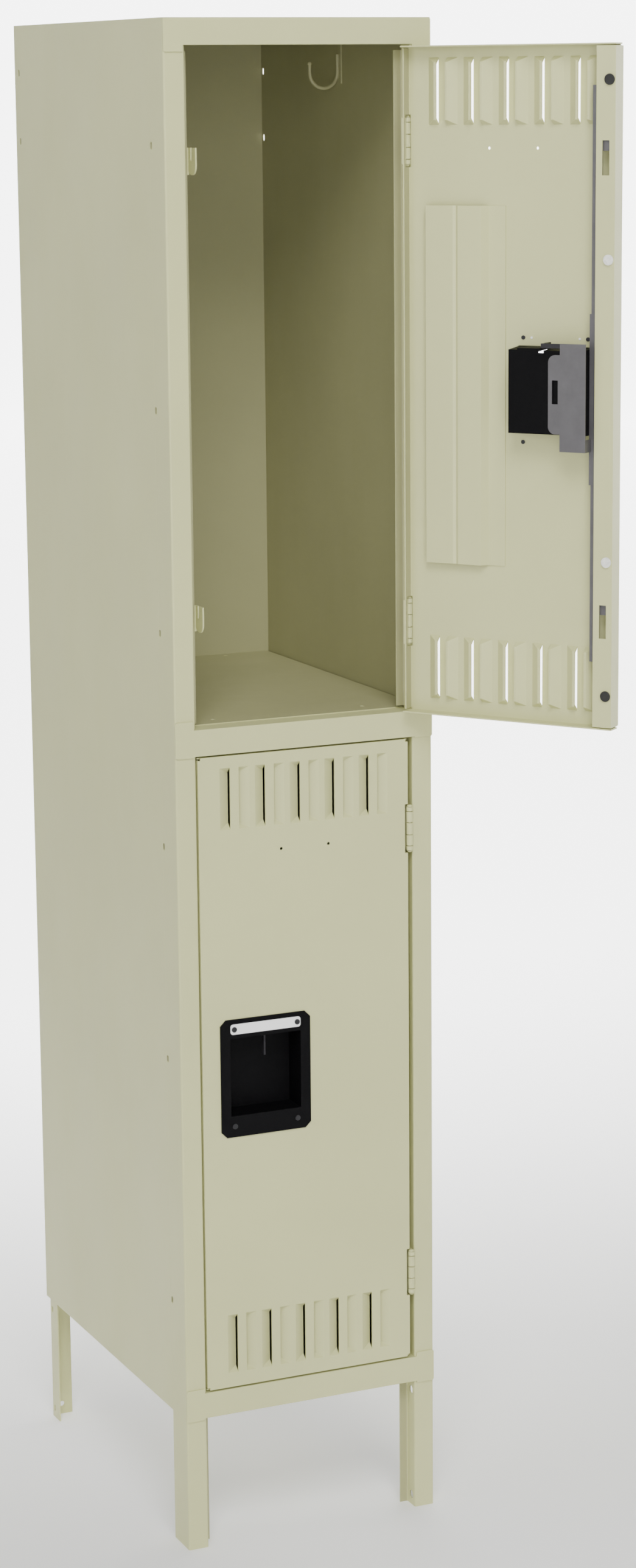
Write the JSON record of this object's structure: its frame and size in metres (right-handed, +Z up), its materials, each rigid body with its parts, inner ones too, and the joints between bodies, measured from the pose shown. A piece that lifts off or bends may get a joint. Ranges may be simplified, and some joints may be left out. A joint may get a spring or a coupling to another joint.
{
  "type": "school locker",
  "caption": "Tall narrow two-tier steel school locker on legs, with louvred hinged doors, recessed lift-latch handles, a lock bar behind each door and coat hooks inside.",
  "frame": {"origin": "on the floor, under the centre of the body's 304.8 by 457.2 mm footprint", "axes": "+Z up, -Y out of the doors' front, +X to the right seen from the front"},
  "size_m": [0.4248, 0.6718, 1.6764],
  "materials": {
    "locker_paint": "satin",
    "zinc_steel": "satin",
    "latch_steel": "satin",
    "pocket_black": "satin",
    "plate_white": "satin",
    "bumper_rubber": "satin",
    "guide_nylon": "satin"
  },
  "bodies": {
    "cabinet": {"left_post": "locker_paint", "right_post": "locker_paint", "top_rail": "locker_paint", "middle_rail": "locker_paint", "bottom_rail": "locker_paint", "left_side_panel": "locker_paint", "right_side_panel": "locker_paint", "back_panel": "locker_paint", "top_panel": "locker_paint", "middle_shelf": "locker_paint", "bottom_shelf": "locker_paint", "rear_left_leg": "locker_paint", "rear_right_leg": "locker_paint", "upper_strikes": "locker_paint", "upper_coat_hooks": "zinc_steel", "upper_frame_hinge_leaves": "locker_paint", "upper_hinge_pins": "zinc_steel", "lower_strikes": "locker_paint", "lower_coat_hooks": "zinc_steel", "lower_frame_hinge_leaves": "locker_paint", "lower_hinge_pins": "zinc_steel"},
    "upper_door": {"upper_door_panel": "locker_paint", "upper_stiffener": "locker_paint", "upper_handle_pocket": "pocket_black", "upper_number_plate": "plate_white", "upper_pocket_rivets": "zinc_steel", "upper_rubber_bumpers": "bumper_rubber", "upper_bar_guides": "guide_nylon", "upper_door_hinge_leaves": "locker_paint"},
    "upper_latch": {"upper_lock_bar": "latch_steel", "upper_lift_bracket": "latch_steel", "upper_finger_lift": "latch_steel"},
    "lower_door": {"lower_door_panel": "locker_paint", "lower_stiffener": "locker_paint", "lower_handle_pocket": "pocket_black", "lower_number_plate": "plate_white", "lower_pocket_rivets": "zinc_steel", "lower_rubber_bumpers": "bumper_rubber", "lower_bar_guides": "guide_nylon", "lower_door_hinge_leaves": "locker_paint"},
    "lower_latch": {"lower_lock_bar": "latch_steel", "lower_lift_bracket": "latch_steel", "lower_finger_lift": "latch_steel"}
  },
  "joints": [
    {"name": "upper_door_hinge", "type": "hinge", "parent": "cabinet", "child": "upper_door", "pos_m": [0.1246, -0.2283, 1.29045], "axis": [0, 0, 1], "range_deg": [-126, 49]},
    {"name": "lower_door_hinge", "type": "hinge", "parent": "cabinet", "child": "lower_door", "pos_m": [0.1246, -0.2283, 0.5432], "axis": [0, 0, 1], "range_deg": [0, 175]},
    {"name": "upper_latch_lift", "type": "slide", "parent": "upper_door", "child": "upper_latch", "axis": [0, 0, 1], "range_m": [0, 0.01]},
    {"name": "lower_latch_lift", "type": "slide", "parent": "lower_door", "child": "lower_latch", "axis": [0, 0, 1], "range_m": [0, 0.01]}
  ]
}
